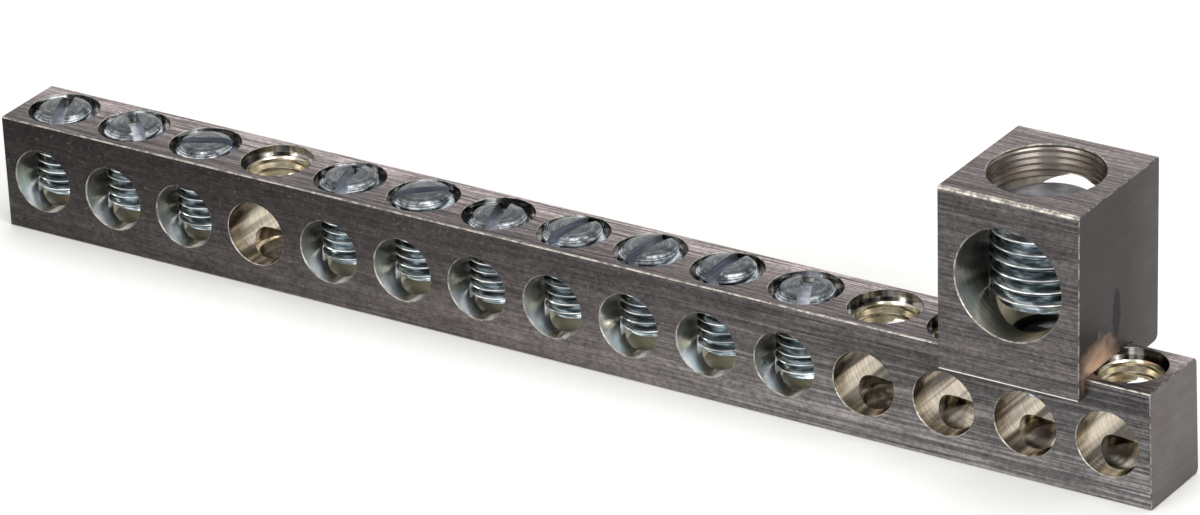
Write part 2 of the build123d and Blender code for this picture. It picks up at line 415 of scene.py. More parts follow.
def sawn_aluminium(name, code, painted_light_and_shade=(), marks=()):
    """Saw-cut aluminium: matt and plain, with slanted kerf lines, any painted light and shade gradients, and
    patches that are stains or painted reflected light.
    """
    material, tree, shader = new_material(name, Metallic=0.85, Roughness=0.46)
    place = add_node(tree, "ShaderNodeTexCoord").outputs["Object"]
    slanted = add_node(
        tree, "ShaderNodeMapping",
        {"Vector": place, "Rotation": (math.radians(-38), 0, 0), "Scale": (60, 110, 2100)})
    lines = add_node(
        tree, "ShaderNodeTexNoise",
        {"Vector": slanted.outputs["Vector"], "Scale": 1.0, "Detail": 4.0, "Roughness": 0.65}).outputs["Fac"]
    cloud = streaks(tree, (300, 300, 300), 3.0, 0.6)
    shade = ramp(tree, lines, (0.32, grey(0.88)), (0.68, grey(1.12)))
    patches = ramp(tree, cloud, (0.35, (0.93, 0.86, 0.86, 1)), (0.65, grey(1.12)))
    base = mixed(tree, mixed(tree, colour(code), shade), patches)
    # Painted light and shade: each gradient lightens or darkens the colour along one axis.
    for axis, low_mm, high_mm, stops in painted_light_and_shade:
        base = mixed(tree, base, gradient(tree, axis, low_mm, high_mm, *stops))
    # Each patch is a real stain or a painted patch of reflected light.
    for mark in marks:
        base = stain_and_glow_patch(tree, base, *mark)
    tree.links.new(base, shader.inputs["Base Color"])
    bumped(tree, shader, lines, 0.35, 0.015)
    return material


def machined_aluminium(name, code, ring_mm, axis, roughness=0.22, contrast=0.2, painted_light_and_shade=(), painted_glints=None):
    """Drilled or tapped aluminium: glossy, with fine rings left by the tool.

    The gradients are painted light and shade on the wall; the glint bands, (darkest, brightest), are painted
    reflections that run the length of the hole.
    """
    material, tree, shader = new_material(name, Metallic=1.0, Roughness=roughness)
    across = 1000 / ring_mm
    scale = [across / 30] * 3
    scale[axis] = across
    rings = streaks(tree, scale, 3.0, 0.6)
    shade = ramp(tree, rings, (0.3, grey(1 - contrast)), (0.7, grey(1 + contrast / 2)))
    base = mixed(tree, colour(code), shade)
    # Painted light and shade down the hole's wall.
    for fade_axis, low_mm, high_mm, stops in painted_light_and_shade:
        base = mixed(tree, base, gradient(tree, fade_axis, low_mm, high_mm, *stops))
    # Painted reflections: broad bright and dark bands along the hole.
    if painted_glints:
        along = [650.0] * 3
        along[axis] = 30.0
        glints = streaks(tree, along, 2.0, 0.6)
        bands = ramp(
            tree, glints, (0.42, grey(painted_glints[0])), (0.50, grey(0.8)), (0.60, grey(painted_glints[1])))
        base = mixed(tree, base, bands)
    tree.links.new(base, shader.inputs["Base Color"])
    bumped(tree, shader, rings, 0.35, 0.01)
    return material


def wear_and_sheen_aluminium(name, code, dull, bright):
    """Deburred and rubbed edges, bright and warm in places and dull in others: partly wear and partly a painted
    highlight along the edge.
    """
    material, tree, shader = new_material(name, Metallic=1.0, Roughness=0.35)
    rub = streaks(tree, (1300, 1300, 1300), 4.0, 0.7)
    shade = ramp(tree, rub, (0.42, grey(dull)), (0.58, grey(bright)))
    tree.links.new(mixed(tree, colour(code), shade), shader.inputs["Base Color"])
    return material


def zinc_plate(name, code, roughness=0.25, contrast=1.0):
    """Bright zinc plate on steel: bluish, glossy, with streaks along the threads."""
    material, tree, shader = new_material(name, Metallic=1.0, Roughness=roughness)
    cloud = streaks(tree, (420, 420, 3200), 3.0, 0.6)
    shade = ramp(
        tree, cloud, (0.40, grey(1 - 0.8 * contrast)), (0.5, grey(1 - 0.1 * contrast)),
        (0.60, grey(1 + 2.2 * contrast)))
    tree.links.new(mixed(tree, colour(code), shade), shader.inputs["Base Color"])
    bumped(tree, shader, cloud, 0.25, 0.01)
    return material


def turned_zinc(name, code, ring_mm, centre, contrast, roughness=0.14):
    """Zinc plate over lathe-turned steel: concentric rings, some dark and some bright."""
    material, tree, shader = new_material(name, Metallic=1.0)
    rings = turning_marks(tree, ring_mm, centre)
    cloud = streaks(tree, (900, 900, 900), 4.0, 0.65)
    lines = ramp(
        tree, rings, (0.36, grey(1 - 0.6 * contrast)), (0.5, grey(1.0)), (0.64, grey(1 + 2.2 * contrast)))
    patches = ramp(
        tree, cloud, (0.38, grey(1 - 0.8 * contrast)), (0.5, grey(1.0)), (0.62, grey(1 + 1.2 * contrast)))
    tree.links.new(mixed(tree, mixed(tree, colour(code), lines), patches), shader.inputs["Base Color"])
    rough = ramp(tree, cloud, (0.3, grey(2 * roughness)), (0.7, grey(roughness)))
    tree.links.new(rough, shader.inputs["Roughness"])
    bumped(tree, shader, rings, 0.5, 0.02)
    return material


def material(name):
    """Makes a material of the object the first time it is asked for."""
    if name in bpy.data.materials:
        return bpy.data.materials[name]
    s = settings()
    lug_axis = middle_of("lug_set_screw")
    # Painted light and shade on the bar's front: darker towards the left end and towards the top.
    front_painted_light_and_shade = (
        ("X", -65, 65, (
            (0.0, grey(0.46)), (0.25, grey(0.75)), (0.47, grey(1.25)), (0.67, (1.62, 1.70, 1.72, 1)),
            (1.0, (1.50, 1.63, 1.68, 1)))),
        ("Z", 1, 11, ((0.1, grey(1.18)), (0.55, grey(0.66)), (1.0, grey(0.46)))))
    # Painted highlight and shade on the bar's top: a bright strip along the back edge, darker towards the front.
    top_painted_light_and_shade = (("Y", -4.4, 4.4, ((0.0, grey(0.75)), (0.45, grey(1.2)), (0.85, (2.6, 2.65, 2.65, 1)))),)
    scratched = ("X", 0, 45, ((0.0, grey(0.15)), (1.0, grey(1.0))))
    # Painted light and shade on the lug: its front darker towards the top, its top and sawn sides brighter towards
    # the back.
    lug_painted_light_and_shade = (("Z", 10, 29, ((0.0, grey(1.15)), (1.0, grey(0.9)))),)
    lug_top_painted_light_and_shade = (("Y", -5.5, 9.3, ((0.0, grey(0.9)), (1.0, grey(1.9)))),)
    side_painted_light_and_shade = (("Y", -5.5, 9.3, ((0.0, grey(0.9)), (0.6, grey(1.0)), (1.0, grey(1.95)))),)
    # Painted light and shade in the wire holes that hold screws: dark in the drilling below the floor, a bright
    # painted reflection along the floor, darker towards the top.
    wall_painted_light_and_shade = (("Z", 1.3, 9.1, (
        (0.0, (0.34, 0.33, 0.25, 1)), (0.145, (0.40, 0.38, 0.30, 1)), (0.165, (2.1, 1.95, 1.75, 1)),
        (0.26, (3.6, 3.2, 2.8, 1)), (0.42, (1.9, 1.8, 1.65, 1)), (0.60, grey(1.0)), (1.0, grey(0.38)))),)
    # Painted light and shade in the lug's wire hole: lighter and warmer at the bottom, darker towards the top.
    lug_wall_painted_light_and_shade = (("Z", 14.6, 26.0, ((0.0, (1.4, 1.35, 1.25, 1)), (0.5, grey(0.95)), (1.0, grey(0.4)))),)
    # On the lug's sawn side: a dark stain high up, and a painted warm patch of reflected light at its foot beside
    # the bar's top.
    lug_side_stain_and_glow = (
        ((59.0, 1.45, 16.2), (4.0, 0.8, 2.8), (0.12, 0.0, 0.04, 1), 0.2),
        ((59.0, -2.1, 12.2), (4.0, 4.0, 3.1), (22.0, 17.5, 13.0, 1), 0.6))
    makers = {
        "mill_finish_aluminium": lambda: brushed_aluminium(
            name, s.front_colour, 0.2, 0.22, 0.05, front_painted_light_and_shade, scratched),
        "brushed_top_aluminium": lambda: brushed_aluminium(name, s.top_colour, 0.24, 0.7, 0.06, top_painted_light_and_shade),
        "lug_brushed_aluminium": lambda: brushed_aluminium(name, s.lug_colour, 0.18, 0.35, 0.08, lug_painted_light_and_shade),
        "lug_top_aluminium": lambda: brushed_aluminium(name, s.lug_top_colour, 0.22, 0.45, 0.08, lug_top_painted_light_and_shade),
        "saw_cut_aluminium": lambda: sawn_aluminium(name, s.sawn_colour),
        "lug_saw_cut_aluminium": lambda: sawn_aluminium(name, s.lug_side_colour, side_painted_light_and_shade, lug_side_stain_and_glow),
        # Deburred rims and the lug's upper front edge: partly wear, partly a painted highlight.
        "wear_and_sheen_aluminium": lambda: wear_and_sheen_aluminium(name, s.wear_and_sheen_colour, 0.35, 0.95),
        # The bar's upper front edge and the edges round the sawn ends: partly wear, partly a painted highlight.
        "edge_wear_and_sheen_aluminium": lambda: wear_and_sheen_aluminium(name, s.edge_wear_and_sheen_colour, 0.5, 1.9),
        "lit_edge_aluminium": lambda: wear_and_sheen_aluminium(name, s.lit_edge_colour, 0.9, 1.1),
        # Shaded copy of the drilled finish for the holes that hold screws, which gets painted light and shade on
        # its wall.
        "drilled_aluminium": lambda: machined_aluminium(name, s.bore_colour, 0.12, 1, 0.3, 0.25, wall_painted_light_and_shade),
        "lug_drilled_aluminium": lambda: machined_aluminium(
            name, s.lug_bore_colour, 0.2, 1, 0.28, 0.35, lug_wall_painted_light_and_shade),
        # Lit copy of the drilled finish for the empty holes, which light reaches from above, with painted
        # reflections along the hole.
        "lit_drilled_aluminium": lambda: machined_aluminium(
            name, s.lit_bore_colour, 0.12, 1, 0.2, 0.4, painted_glints=(0.3, 1.6)),
        # The recesses round the screws, with painted reflections on their walls.
        "recess_aluminium": lambda: machined_aluminium(
            name, s.recess_colour, 0.15, 2, 0.18, 0.3, painted_glints=(0.25, 2.3)),
        "tapped_aluminium": lambda: machined_aluminium(name, s.thread_colour, 0.2, 2, 0.22, 0.3),
        "lug_tapped_aluminium": lambda: machined_aluminium(name, s.lug_thread_colour, 0.25, 2, 0.25, 0.4),
        "thread_flank_zinc": lambda: zinc_plate(name, s.zinc_colour, 0.25, 0.75),
        # Painted highlight on the thread crests and painted shade on the downward-facing flanks.
        "thread_crest_highlight_zinc": lambda: zinc_plate(name, s.crest_highlight_colour, 0.15, 0.5),
        "thread_underside_shade_zinc": lambda: zinc_plate(name, s.underside_shade_colour, 0.3),
        "slot_zinc": lambda: zinc_plate(name, s.slot_colour, 0.35, 0.2),
        "screw_top_zinc": lambda: turned_zinc(name, s.zinc_top_colour, 0.22, None, 0.5),
        "screw_rim_zinc": lambda: turned_zinc(name, s.zinc_rim_colour, 0.16, None, 0.9),
        # The lug's screw top and chamfer painted near white: a painted reflection of the white surroundings.
        "lug_screw_top_sheen_zinc": lambda: turned_zinc(name, s.lug_screw_sheen_colour, 0.4, lug_axis, 0.08, 0.3),
    }
    return makers[name]()


def turned(bm, profile, place, facing=UPWARDS, steps=TURN_STEPS):
    """Adds a closed turned solid: profile is (radius, height) pairs that start and end on the axis."""
    before = set(bm.verts)
    verts = [bm.verts.new((radius, 0, height)) for radius, height in profile]
    edges = [bm.edges.new(pair) for pair in zip(verts, verts[1:])]
    bmesh.ops.spin(
        bm, geom=verts + edges, cent=(0, 0, 0), axis=(0, 0, 1), dvec=(0, 0, 0),
        angle=math.tau, steps=steps, use_merge=True)
    bmesh.ops.remove_doubles(bm, verts=[v for v in bm.verts if v not in before], dist=1e-7)
    made = [v for v in bm.verts if v not in before]
    bmesh.ops.rotate(bm, verts=made, cent=(0, 0, 0), matrix=facing)
    bmesh.ops.translate(bm, verts=made, vec=place)


def mesh_object(bm, name, *materials):
    """Closes a bmesh into an object with its normals pointing outwards."""
    bmesh.ops.recalc_face_normals(bm, faces=bm.faces)
    mesh = bpy.data.meshes.new(name)
    bm.to_mesh(mesh)
    bm.free()
    for one in materials:
        mesh.materials.append(material(one))
    made = bpy.data.objects.new(name, mesh)
    bpy.context.collection.objects.link(made)
    return made


def cut(body, *cutters):
    """Cuts body by all the cutters at once, whose faces keep their own material, and bakes the result."""
    group = bpy.data.collections.new("cutters")
    for cutter in cutters:
        group.objects.link(cutter)
    modifier = body.modifiers.new("cut", "BOOLEAN")
    modifier.operation = "DIFFERENCE"
    modifier.operand_type = "COLLECTION"
    modifier.collection = group
    modifier.solver = "EXACT"
    modifier.material_mode = "TRANSFER"
    depsgraph = bpy.context.evaluated_depsgraph_get()
    mesh = bpy.data.meshes.new_from_object(body.evaluated_get(depsgraph))
    body.modifiers.clear()
    body.data = mesh
    for cutter in cutters:
        bpy.data.objects.remove(cutter)
    bpy.data.collections.remove(group)


def finish_piece(piece, body, slot, *nodes, smooth_deg=28):
    """Smooth shading between sharp edges, then the piece's body and the hiding of the node that it stands for;
    slot is not used.
    """
    piece.data.name = piece.name
    for polygon in piece.data.polygons:
        polygon.use_smooth = True
    piece.data.set_sharp_from_angle(angle=math.radians(smooth_deg))
    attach(piece, body)
    if nodes:
        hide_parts(*nodes)
    return piece


def x_edge(bm, y_side, z_side):
    """The long edge along X on the given sides of a block."""
    def side(edge):
        middle = (edge.verts[0].co + edge.verts[1].co) / 2
        return middle.y * y_side + middle.z * z_side
    return max((e for e in bm.edges if abs(e.verts[0].co.x - e.verts[1].co.x) > 1e-5), key=side)


def block(name, low, high, radii, end_edge, materials, worn=0.999, lean=0.0):
    """A block with its own radius on each long edge, a narrow bevel round each end that takes the edge finish, and
    leaning ends.

    radii go by (y side, z side); materials are for front and back, top and bottom, ends, end edges,
    upper front edge, lower front edge. worn is how square to an axis a front edge's facet may be
    before it takes the edge finish, which is partly wear and partly a painted highlight.
    """
    bm = bmesh.new()
    bmesh.ops.create_cube(bm, size=1.0)
    bmesh.ops.scale(bm, verts=bm.verts, vec=Vector(high) - Vector(low))
    for (y_side, z_side), radius in radii.items():
        bmesh.ops.bevel(
            bm, geom=[x_edge(bm, y_side, z_side)], offset=radius, offset_type="OFFSET", segments=5,
            profile=0.5, affect="EDGES", material=-1)
    ends = {e for f in bm.faces if abs(f.normal.x) > 0.99 for e in f.edges}
    bmesh.ops.bevel(
        bm, geom=list(ends), offset=end_edge, offset_type="OFFSET", segments=1, profile=0.5,
        affect="EDGES", material=-1)
    bm.normal_update()
    half = (Vector(high) - Vector(low)) / 2
    for face in bm.faces:
        steep = max(abs(face.normal.x), abs(face.normal.y), abs(face.normal.z))
        middle = face.calc_center_median()
        if abs(face.normal.x) > 0.99:
            face.material_index = 2
        elif abs(face.normal.x) > 0.2:
            face.material_index = 3
        elif steep < worn and middle.y < 0:
            face.material_index = 4 if middle.z > 0 else 5
        elif abs(face.normal.z) > abs(face.normal.y):
            face.material_index = 1
    for vert in bm.verts:
        vert.co.x *= 1 - lean * half.z / half.x
        vert.co.x += lean * vert.co.z
    bmesh.ops.translate(bm, verts=bm.verts, vec=(Vector(high) + Vector(low)) / 2)
    return mesh_object(bm, name, *materials)


def round_bar(radius, low, high):
    """Profile of a plain cylinder."""
    return [(0, low), (radius, low), (radius, high), (0, high)]


def mouth(radius):
    """Profile of the countersink that leaves a chamfered rim of this radius on a face at height 0."""
    return [(0, -0.5 * MM), (radius + 0.5 * MM, -0.5 * MM), (0, radius)]


def terminal_x(number):
    return (number - (TERMINALS + 1) / 2) * settings().pitch


def screw_hole(number, shelf):
    """Profile of the hole that crosses a wire hole from above, up to the shelf of its recess.

    An empty hole is drawn at the drill's size where no thread is left on its wall.
    """
    s = settings()
    tap_floor = s.bare_wall if number in EMPTY_TERMINALS else s.tap_floor
    point = [(0, s.drill_floor - s.drill_point)]
    if number in MOUNTING_TERMINALS:
        radius = s.mounting_hole / 2
        slope = s.drill_floor - s.drill_point * (1 - s.mounting_hole / s.tap_drill)
        point = [(0, -OVERSHOOT), (radius, -OVERSHOOT), (radius, slope)]
    top = shelf + 0.01 * MM
    return point + [
        (s.tap_drill / 2, s.drill_floor), (s.tap_drill / 2, tap_floor), (s.tapped_hole / 2, tap_floor),
        (s.tapped_hole / 2, top), (0, top)]


class GROUNDBAR_OT_bar(bpy.types.Operator):
    """Makes the drilled and tapped bar"""

    bl_idname = "ground_bar.bar"
    bl_label = "Bar"

    def execute(self, context):
        s = settings()
        low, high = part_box("ground_bar")
        radii = {(-1, -1): s.front_edge, (1, -1): s.back_edge, (-1, 1): s.front_edge, (1, 1): s.back_edge}
        bar = block("bar", low, high, radii, s.end_edge, (
            "mill_finish_aluminium", "brushed_top_aluminium", "saw_cut_aluminium", "edge_wear_and_sheen_aluminium",
            "edge_wear_and_sheen_aluminium", "mill_finish_aluminium"), worn=0.9)
        screwed = [n for n in range(1, TERMINALS + 1) if n not in EMPTY_TERMINALS]
        shelf = high.z - s.recess_depth
        mouths = bmesh.new()
        for number in range(1, TERMINALS + 1):
            profile = mouth(s.wire_hole / 2 + s.rim_chamfer)
            turned(mouths, profile, (terminal_x(number), low.y, s.wire_height), BACKWARDS)
            turned(mouths, profile, (terminal_x(number), high.y, s.wire_height), FORWARDS)
            turned(mouths, mouth(s.recess / 2 + 0.06 * MM), (terminal_x(number), 0, high.z), DOWNWARDS)
        # The rims take the edge finish, partly wear and partly a painted highlight.
        cutters = [mesh_object(mouths, "mouth_cutter", "wear_and_sheen_aluminium")]
        # The holes that hold screws take the shaded copy of the drilled finish, the empty holes the lit copy.
        for numbers, finish in ((screwed, "drilled_aluminium"), (EMPTY_TERMINALS, "lit_drilled_aluminium")):
            wires, screws = bmesh.new(), bmesh.new()
            for number in numbers:
                profile = round_bar(s.wire_hole / 2, low.y - OVERSHOOT, high.y + OVERSHOOT)
                turned(wires, profile, (terminal_x(number), 0, s.wire_height), BACKWARDS)
                turned(screws, screw_hole(number, shelf), (terminal_x(number), 0, 0))
            cutters.append(mesh_object(wires, "wire_cutter", finish))
            cutters.append(mesh_object(screws, "screw_cutter", finish))
        recesses = bmesh.new()
        for number in range(1, TERMINALS + 1):
            turned(recesses, round_bar(s.recess / 2, shelf, high.z + OVERSHOOT), (terminal_x(number), 0, 0))
        cutters.append(mesh_object(recesses, "recess_cutter", "recess_aluminium"))
        cut(bar, *cutters)
        finish_piece(bar, "root", "extruded_aluminium", "ground_bar")
        return {"FINISHED"}


def helix(bm, profile, pitch, turns, steps=THREAD_STEPS):
    """Sweeps one pitch of a thread's profile, (radius, height) pairs, up a helix about Z."""
    verts = [bm.verts.new((radius, 0, height)) for radius, height in profile]
    edges = [bm.edges.new(pair) for pair in zip(verts, verts[1:])]
    bmesh.ops.spin(
        bm, geom=verts + edges, cent=(0, 0, 0), axis=(0, 0, 1), dvec=(0, 0, pitch / steps),
        angle=math.tau * turns, steps=steps * turns)
    bmesh.ops.remove_doubles(bm, verts=bm.verts, dist=pitch / 500)


def close_ends(bm, low, high):
    """Cuts a thread's surface off square at both ends and caps it."""
    for height, normal in ((low, (0, 0, -1)), (high, (0, 0, 1))):
        everything = list(bm.verts) + list(bm.edges) + list(bm.faces)
        made = bmesh.ops.bisect_plane(
            bm, geom=everything, plane_co=(0, 0, height), plane_no=normal, clear_outer=True, dist=1e-8)
        rim = [e for e in made["geom_cut"] if isinstance(e, bmesh.types.BMEdge) and e.is_boundary]
        bmesh.ops.holes_fill(bm, edges=rim, sides=0)


def threaded_rod(radius, pitch, length, top_outline, tip_chamfer):
    """A threaded rod from height 0 to length; top_outline is (radius, drop) pairs from its flat face down."""
    depth = 0.6 * pitch
    profile = [
        (radius - depth, 0), (radius - 0.06 * pitch, 0.40 * pitch), (radius, 0.44 * pitch),
        (radius, 0.54 * pitch), (radius - 0.06 * pitch, 0.58 * pitch), (radius - depth, 0.98 * pitch),
        (radius - depth, pitch)]
    turns = int(length / pitch) + 3
    bm = bmesh.new()
    helix(bm, profile, pitch, turns)
    bmesh.ops.translate(bm, verts=bm.verts, vec=(0, 0, -1.5 * pitch))
    for height in [length - drop for _, drop in top_outline[1:]] + [tip_chamfer]:
        everything = list(bm.verts) + list(bm.edges) + list(bm.faces)
        bmesh.ops.bisect_plane(bm, geom=everything, plane_co=(0, 0, height), plane_no=(0, 0, 1), dist=1e-8)
    close_ends(bm, 0, length)
    for vert in bm.verts:
        limit = radius - max(0, tip_chamfer - vert.co.z)
        for (inner, high), (outer, low) in zip(top_outline, top_outline[1:]):
            if vert.co.z > length - low:
                share = (length - vert.co.z - high) / (low - high)
                limit = inner + max(0, share) * (outer - inner)
                break
        reach = math.hypot(vert.co.x, vert.co.y)
        if reach > limit:
            vert.co.x *= limit / reach
            vert.co.y *= limit / reach
    bmesh.ops.triangulate(bm, faces=[f for f in bm.faces if len(f.verts) > 4])
    return bm


def slot_cutter(width, depth, length, top, turn):
    bm = bmesh.new()
    bmesh.ops.create_cube(bm, size=1.0)
    bmesh.ops.scale(bm, verts=bm.verts, vec=(length, width, 2 * depth))
    bmesh.ops.rotate(bm, verts=bm.verts, cent=(0, 0, 0), matrix=Matrix.Rotation(turn, 3, "Z"))
    bmesh.ops.translate(bm, verts=bm.verts, vec=(0, 0, top))
    return bm


def make_screw(
        name, node, body, pitch, face, crown, chamfer, slot, turn, rim_finish="screw_rim_zinc",
        top_finish="screw_top_zinc"):
    """A headless slotted screw with a real thread in the place of its plain CAD solid."""
    low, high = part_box(node)
    centre = (low + high) / 2
    length = high.z - low.z
    radius = (high.y - low.y) / 2
    crown_radius, crown_drop = crown
    outline = [(face / 2, 0), (crown_radius, crown_drop), (radius, crown_drop + chamfer)]
    bm = threaded_rod(radius, pitch, length, outline, 0.5 * MM)
    screw = mesh_object(
        bm, name, "thread_flank_zinc", "thread_crest_highlight_zinc", "thread_underside_shade_zinc", rim_finish, top_finish)
    # Crest faces take the painted highlight and downward-facing flanks the painted shade.
    for polygon in screw.data.polygons:
        if polygon.center.z > length - crown_drop:
            polygon.material_index = 4
        elif polygon.center.z > length - crown_drop - chamfer:
            polygon.material_index = 3
        elif math.hypot(polygon.center.x, polygon.center.y) > radius - 0.1 * pitch:
            polygon.material_index = 1
        elif polygon.normal.z < -0.2:
            polygon.material_index = 2
    cutter = slot_cutter(slot[0], slot[1], 3 * radius, length, turn)
    cut(screw, mesh_object(cutter, "slot_cutter", "slot_zinc"))
    screw.data.transform(Matrix.Translation((centre.x, centre.y, low.z)))
    return finish_piece(screw, body, "zinc_plated_steel", node, smooth_deg=35)


class GROUNDBAR_OT_set_screws(bpy.types.Operator):
    """Makes the slotted set screws of the terminals"""

    bl_idname = "ground_bar.set_screws"
    bl_label = "Set screws"

    def execute(self, context):
        s = settings()
        for node in SET_SCREWS:
            number = int(node[-2:])
            make_screw(
                f"screw_{number:02d}", node, f"screw_{number:02d}", s.screw_pitch, s.screw_face,
                (s.screw_crown / 2, s.crown_drop), s.screw_chamfer, (s.slot_width, s.slot_depth),
                math.radians(SLOT_TURNS[number]))
        return {"FINISHED"}


class GROUNDBAR_OT_lug(bpy.types.Operator):
    """Makes the lug for the large wire"""

    bl_idname = "ground_bar.lug"
    bl_label = "Lug"

    def execute(self, context):
        s = settings()
        low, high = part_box("lug")
        bar_low, bar_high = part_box("ground_bar")
        axis = middle_of("lug_set_screw")
        radii = {
            (-1, -1): s.lug_lip_edge, (1, -1): s.lug_back_edge, (-1, 1): s.lug_front_edge,
            (1, 1): s.lug_lip_edge}
        lug = block("lug_block", low, high, radii, s.end_edge, (
            "lug_brushed_aluminium", "lug_top_aluminium", "lug_saw_cut_aluminium", "edge_wear_and_sheen_aluminium",
            "wear_and_sheen_aluminium", "lit_edge_aluminium"), lean=math.tan(s.lug_slant))
        saddle = bmesh.new()
        bmesh.ops.create_cube(saddle, size=1.0)
        bmesh.ops.scale(saddle, verts=saddle.verts, vec=(
            2 * (high.x - low.x), bar_high.y - bar_low.y + 0.1 * MM, bar_high.z))
        bmesh.ops.translate(saddle, verts=saddle.verts, vec=(axis.x, 0, bar_high.z / 2))
        rim = bmesh.new()
        turned(
            rim, mouth(s.lug_wire_hole / 2 + 0.1 * MM), (axis.x, low.y, s.lug_wire_height), BACKWARDS,
            2 * TURN_STEPS)
        turned(
            rim, mouth(s.lug_tapped_hole / 2 + 0.1 * MM), (axis.x, axis.y, high.z), DOWNWARDS, 2 * TURN_STEPS)
        wire = bmesh.new()
        turned(
            wire, round_bar(s.lug_wire_hole / 2, low.y - OVERSHOOT, high.y + OVERSHOOT),
            (axis.x, 0, s.lug_wire_height), BACKWARDS, 2 * TURN_STEPS)
        hole = bmesh.new()
        radius = s.lug_tapped_hole / 2
        thread_low, thread_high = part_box("lug_set_screw")[1].z, high.z - s.lug_land
        turned(hole, [
            (0, s.lug_floor), (s.lug_tap_drill / 2, s.lug_floor), (s.lug_tap_drill / 2, s.lug_tap_floor),
            (radius, s.lug_tap_floor), (radius, thread_low), (radius + s.lug_groove, thread_low),
            (radius + s.lug_groove, thread_high), (radius, thread_high), (radius, high.z + OVERSHOOT),
            (0, high.z + OVERSHOOT)], (axis.x, axis.y, 0), steps=2 * TURN_STEPS)
        fixing = bmesh.new()
        fixing_axis = middle_of("lug_fixing_screw")
        turned(
            fixing, round_bar(s.tapped_hole / 2, bar_high.z - OVERSHOOT, s.lug_wire_height),
            (fixing_axis.x, fixing_axis.y, 0))
        cut(
            lug, mesh_object(saddle, "saddle_cutter", "saw_cut_aluminium"),
            # The rims take the edge finish, partly wear and partly a painted highlight.
            mesh_object(rim, "rim_cutter", "wear_and_sheen_aluminium"),
            mesh_object(wire, "wire_cutter", "lug_drilled_aluminium"),
            mesh_object(hole, "hole_cutter", "lug_drilled_aluminium"),
            # The lug's fixing hole takes the shaded copy of the drilled finish.
            mesh_object(fixing, "fixing_cutter", "drilled_aluminium"))
        finish_piece(lug, "root", "lug_aluminium", "lug")
        return {"FINISHED"}


class GROUNDBAR_OT_lug_screws(bpy.types.Operator):
    """Makes the lug's set screw and the screw that holds the lug down"""

    bl_idname = "ground_bar.lug_screws"
    bl_label = "Lug screws"

    def execute(self, context):
        s = settings()
        # The lug's clamp screw takes the near-white painted reflection on its top and chamfer.
        make_screw(
            "lug_clamp_screw", "lug_set_screw", "lug_screw", s.lug_screw_pitch, 7.0 * MM,
            (4.7 * MM, 0.2 * MM), 0.8 * MM, (s.lug_slot_width, 2.2 * MM), s.lug_slot_turn,
            "lug_screw_top_sheen_zinc", "lug_screw_top_sheen_zinc")
        make_screw(
            "lug_holding_screw", "lug_fixing_screw", "root", s.screw_pitch, s.screw_face,
            (s.screw_crown / 2, s.crown_drop), s.screw_chamfer, (s.slot_width, s.slot_depth), 0.0)
        return {"FINISHED"}


def thread_sleeve(name, place, root, pitch, bottom, top, wire_radius, wire_height, finish):
    """The tapped thread in a hole's wall, cut away where the wire hole crosses it."""
    depth = 0.3 * pitch
    profile = [
        (root, 0), (root - depth, 0.44 * pitch), (root - depth, 0.54 * pitch), (root, 0.98 * pitch), (root, pitch)]
    turns = int((top - bottom) / pitch) + 3
    bm = bmesh.new()
    helix(bm, profile, pitch, turns)
    bmesh.ops.translate(bm, verts=bm.verts, vec=(0, 0, bottom - 1.5 * pitch))
    for height, normal in ((bottom, (0, 0, -1)), (top, (0, 0, 1))):
        everything = list(bm.verts) + list(bm.edges) + list(bm.faces)
        bmesh.ops.bisect_plane(
            bm, geom=everything, plane_co=(0, 0, height), plane_no=normal, clear_outer=True, dist=1e-8)
    outer = root + 0.06 * MM
    for height in (bottom, top):
        rim = [e for e in bm.edges if e.is_boundary and abs(e.verts[0].co.z - height) < 1e-6
               and abs(e.verts[1].co.z - height) < 1e-6]
        made = bmesh.ops.extrude_edge_only(bm, edges=rim)
        for vert in (v for v in made["geom"] if isinstance(v, bmesh.types.BMVert)):
            reach = math.hypot(vert.co.x, vert.co.y)
            vert.co.x *= outer / reach
            vert.co.y *= outer / reach
    loose = [e for e in bm.edges if e.is_boundary]
    bmesh.ops.bridge_loops(bm, edges=loose)
    sleeve = mesh_object(bm, name, finish)
    wire = bmesh.new()
    turned(wire, round_bar(wire_radius, -20 * MM, 20 * MM), (0, 0, wire_height), BACKWARDS)
    cut(sleeve, mesh_object(wire, "wire_cutter", finish))
    sleeve.data.transform(Matrix.Translation((place[0], place[1], 0)))
    return sleeve


class GROUNDBAR_OT_tapped_threads(bpy.types.Operator):
    """Makes the tapped threads that show in the empty holes and in the lug"""

    bl_idname = "ground_bar.tapped_threads"
    bl_label = "Tapped threads"

    def execute(self, context):
        s = settings()
        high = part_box("lug")[1]
        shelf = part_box("ground_bar")[1].z - s.recess_depth
        for number in (n for n in EMPTY_TERMINALS if n != LUG_TERMINAL):
            sleeve = thread_sleeve(
                f"tapped_thread_{number:02d}", (terminal_x(number), 0), s.tapped_hole / 2, s.screw_pitch,
                s.bare_wall + 0.02 * MM, shelf, s.wire_hole / 2, s.wire_height, "tapped_aluminium")
            finish_piece(sleeve, "root", "extruded_aluminium", smooth_deg=35)
        axis = middle_of("lug_set_screw")
        sleeve = thread_sleeve(
            "tapped_thread_lug", (axis.x, axis.y), s.lug_tapped_hole / 2 + s.lug_groove, s.lug_screw_pitch / 2,
            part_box("lug_set_screw")[1].z, high.z - s.lug_land, s.lug_wire_hole / 2, s.lug_wire_height,
            "lug_tapped_aluminium")
        finish_piece(sleeve, "root", "lug_aluminium", smooth_deg=35)
        return {"FINISHED"}


CAMERA_PLACE_MM = (368.7, -533.35, 322.36)
CAMERA_YAW = 0.6012
CAMERA_DIP = 0.4501
CAMERA_ROLL = -0.0527
FOCAL_PIXELS = 7493.2


